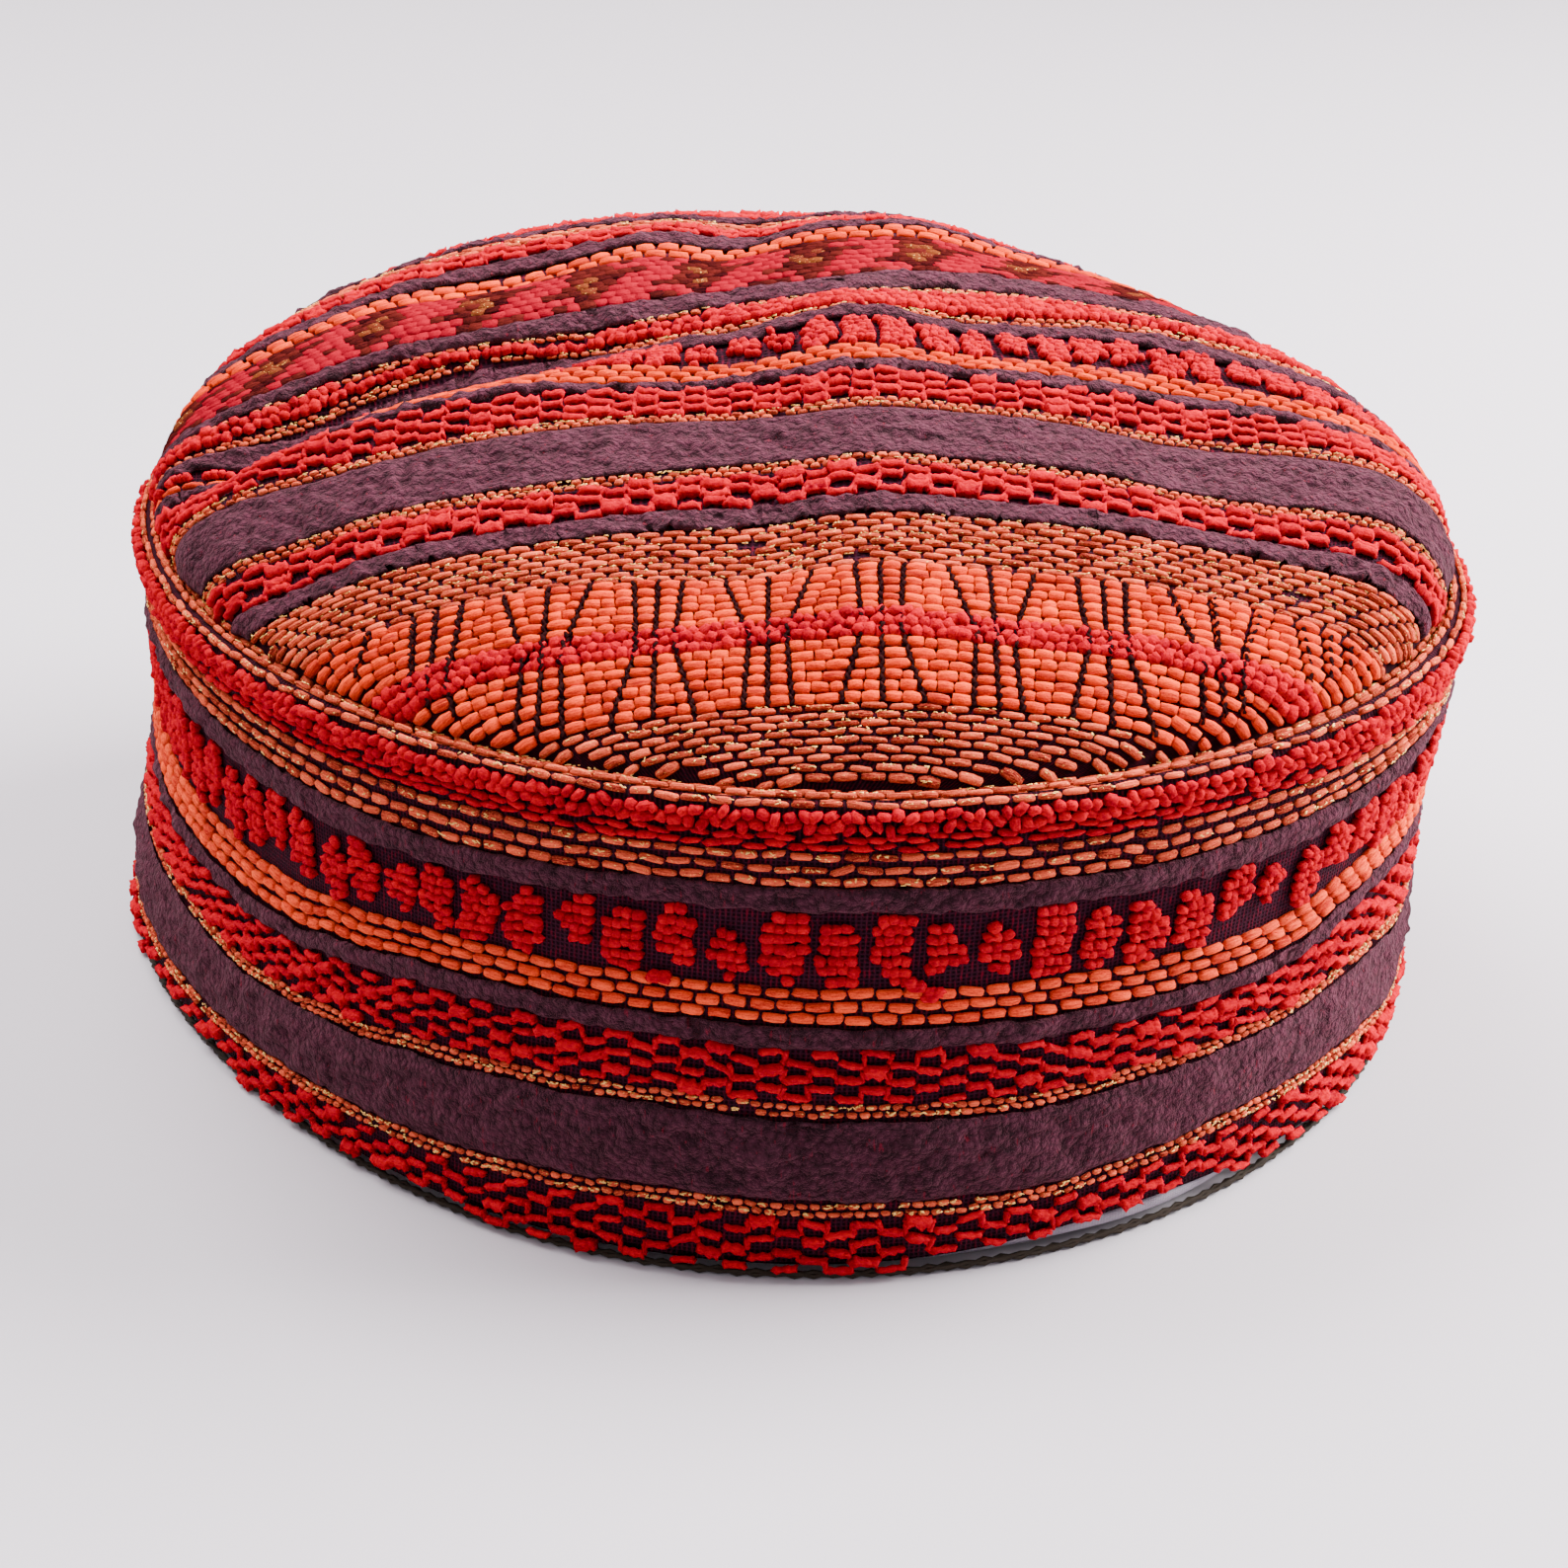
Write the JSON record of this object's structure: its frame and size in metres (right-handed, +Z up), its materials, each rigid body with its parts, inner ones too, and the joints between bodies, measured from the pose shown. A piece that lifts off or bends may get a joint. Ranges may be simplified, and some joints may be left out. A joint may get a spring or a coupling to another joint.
{
  "type": "kufi cap",
  "caption": "Brimless woven kufi cap: an upright striped cloth band, a softly puffed and creased striped top, and a dark cord along the hem.",
  "frame": {"origin": "below the middle of the cap, on the surface that the hem cord rests on", "axes": "+Z up through the crown, -Y the front that the picture shows, +X to the right as the picture shows it"},
  "size_m": [0.1846, 0.1904, 0.0904],
  "materials": {
    "striped_cloth": "woven stripes of red boucle, orange yarn, dark purple velvet and dull gold thread",
    "top_cloth": "the same striped cloth with a broad orange and tan stripe at the front",
    "lining_cloth": "plain mauve-grey cotton, matt",
    "hem_cord": "dark olive-brown braided cord, matt"
  },
  "bodies": {
    "root": {"side_band": "striped_cloth", "top_panel": "top_cloth", "hem_lining": "lining_cloth", "hem_cord": "hem_cord"}
  },
  "joints": []
}
